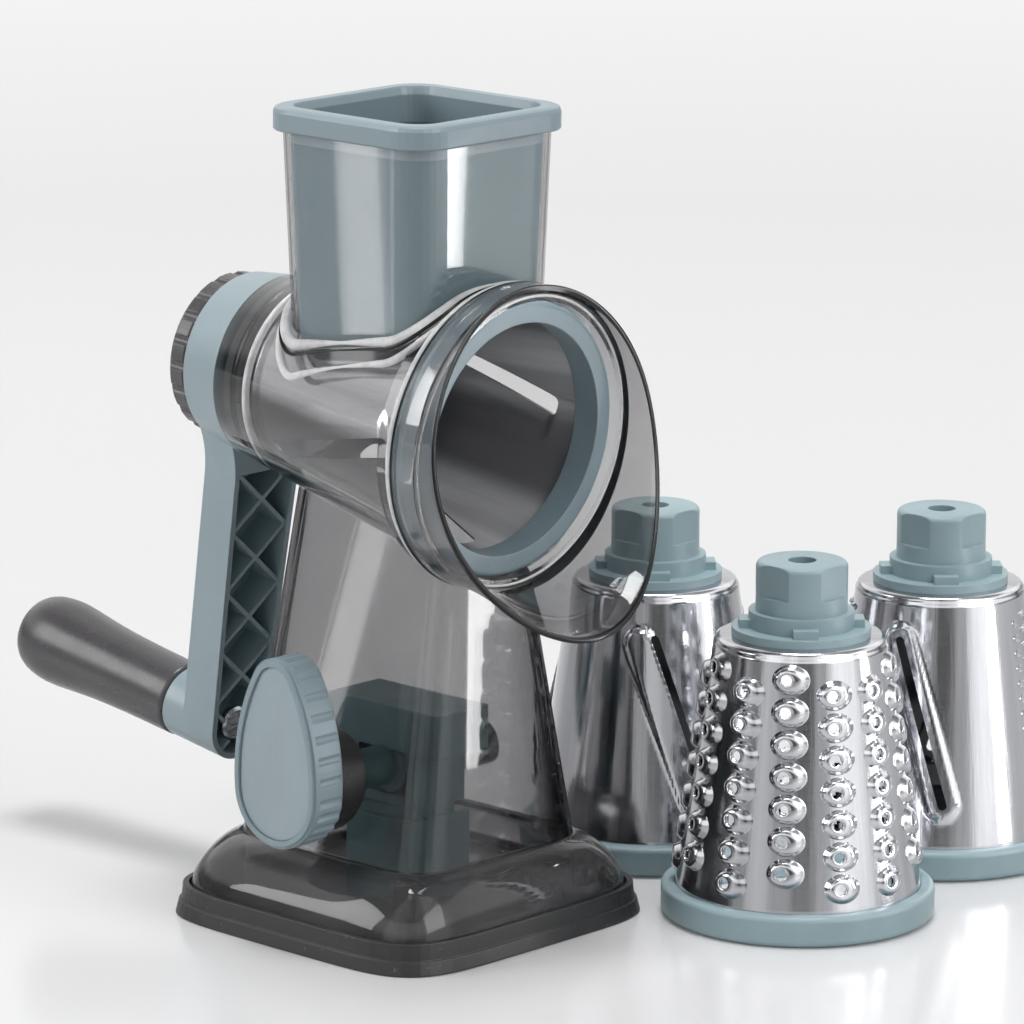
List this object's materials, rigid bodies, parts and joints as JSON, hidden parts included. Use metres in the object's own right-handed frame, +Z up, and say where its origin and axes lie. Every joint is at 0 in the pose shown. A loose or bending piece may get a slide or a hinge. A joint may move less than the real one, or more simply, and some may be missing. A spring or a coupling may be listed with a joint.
{
  "type": "rotary vegetable shredder",
  "caption": "Hand-cranked rotary shredder: suction-foot tower, tilted clear barrel with hopper, pusher, splash guard, slide-out cone drum and spare drums.",
  "frame": {"origin": "centre of the foot ring on the table", "axes": "+Z up, +X the way the drum's mouth faces, -Y the side of the suction lever"},
  "size_m": [0.3485, 0.3159, 0.295],
  "materials": {
    "foot_ring": "satin",
    "base_plate": "matte",
    "base_screws": "plain",
    "screw_posts": "satin",
    "suction_pad": "matte",
    "base_dome": "clear smoke, polished",
    "tower_shell": "clear smoke, polished",
    "guide_column": "satin",
    "lever_bezel": "satin",
    "far_boss": "satin",
    "barrel_housing": "clear smoke, polished",
    "rear_bush": "satin",
    "rim_seal": "satin",
    "splash_guard": "clear smoke, polished",
    "slicer_shell": "polished sheet steel",
    "slicer_rim": "satin",
    "slicer_hub": "satin",
    "grater_shell": "polished sheet steel",
    "grater_bumps": "polished sheet steel",
    "grater_rim": "satin",
    "grater_hub": "satin",
    "shaver_shell": "polished sheet steel",
    "shaver_teeth": "polished sheet steel",
    "shaver_rim": "satin",
    "shaver_hub": "satin",
    "crank_arm": "satin",
    "grip_spindle": "turned",
    "grip_sleeve": "satin",
    "lock_nut": "satin",
    "drum_shell": "polished sheet steel",
    "drum_rim": "satin",
    "drum_hub": "satin",
    "food_pusher": "satin",
    "suction_lever": "satin",
    "lever_panel": "satin",
    "cam_shaft": "satin",
    "pull_yoke": "satin",
    "pull_stem": "turned"
  },
  "bodies": {
    "frame": {"foot_ring": "foot_ring", "base_plate": "base_plate", "base_screws": "base_screws", "screw_posts": "screw_posts", "suction_pad": "suction_pad", "base_dome": "base_dome", "tower_shell": "tower_shell", "guide_column": "guide_column", "lever_bezel": "lever_bezel", "far_boss": "far_boss", "barrel_housing": "barrel_housing", "rear_bush": "rear_bush", "rim_seal": "rim_seal", "splash_guard": "splash_guard", "slicer_shell": "slicer_shell", "slicer_rim": "slicer_rim", "slicer_hub": "slicer_hub", "grater_shell": "grater_shell", "grater_bumps": "grater_bumps", "grater_rim": "grater_rim", "grater_hub": "grater_hub", "shaver_shell": "shaver_shell", "shaver_teeth": "shaver_teeth", "shaver_rim": "shaver_rim", "shaver_hub": "shaver_hub"},
    "crank": {"crank_arm": "crank_arm", "grip_spindle": "grip_spindle"},
    "grip": {"grip_sleeve": "grip_sleeve"},
    "nut": {"lock_nut": "lock_nut"},
    "drum": {"drum_shell": "drum_shell", "drum_rim": "drum_rim", "drum_hub": "drum_hub"},
    "pusher": {"food_pusher": "food_pusher"},
    "lever": {"suction_lever": "suction_lever", "lever_panel": "lever_panel", "cam_shaft": "cam_shaft"},
    "yoke": {"pull_yoke": "pull_yoke", "pull_stem": "pull_stem"}
  },
  "joints": [
    {"name": "crank_turn", "type": "hinge", "parent": "frame", "child": "crank", "pos_m": [0, 0, 0.186], "axis": [0.9968, 0, -0.0802], "continuous": true},
    {"name": "grip_spin", "type": "hinge", "parent": "crank", "child": "grip", "pos_m": [-0.08594, 0, 0.05289], "axis": [0.9874, 0, -0.1582], "continuous": true},
    {"name": "nut_turn", "type": "hinge", "parent": "crank", "child": "nut", "pos_m": [0, 0, 0.186], "axis": [0.9968, 0, -0.0802], "range_deg": [0, 90]},
    {"name": "drum_out", "type": "slide", "parent": "crank", "child": "drum", "axis": [0.9968, 0, -0.0802], "range_m": [0, 0.135]},
    {"name": "pusher_lift", "type": "slide", "parent": "frame", "child": "pusher", "axis": [0, 0, 1], "range_m": [0, 0.15]},
    {"name": "lever_turn", "type": "hinge", "parent": "frame", "child": "lever", "pos_m": [0, -0.0605, 0.057], "axis": [0, -1, 0], "range_deg": [0, 90]},
    {"name": "yoke_pull", "type": "slide", "parent": "frame", "child": "yoke", "axis": [0, 0, 1], "range_m": [0, 0.0043], "deforming": ["suction_pad"]}
  ],
  "couplings": [
    {"joint": "yoke_pull", "follows": "lever_turn", "m_per_rad": 0.0027}
  ]
}
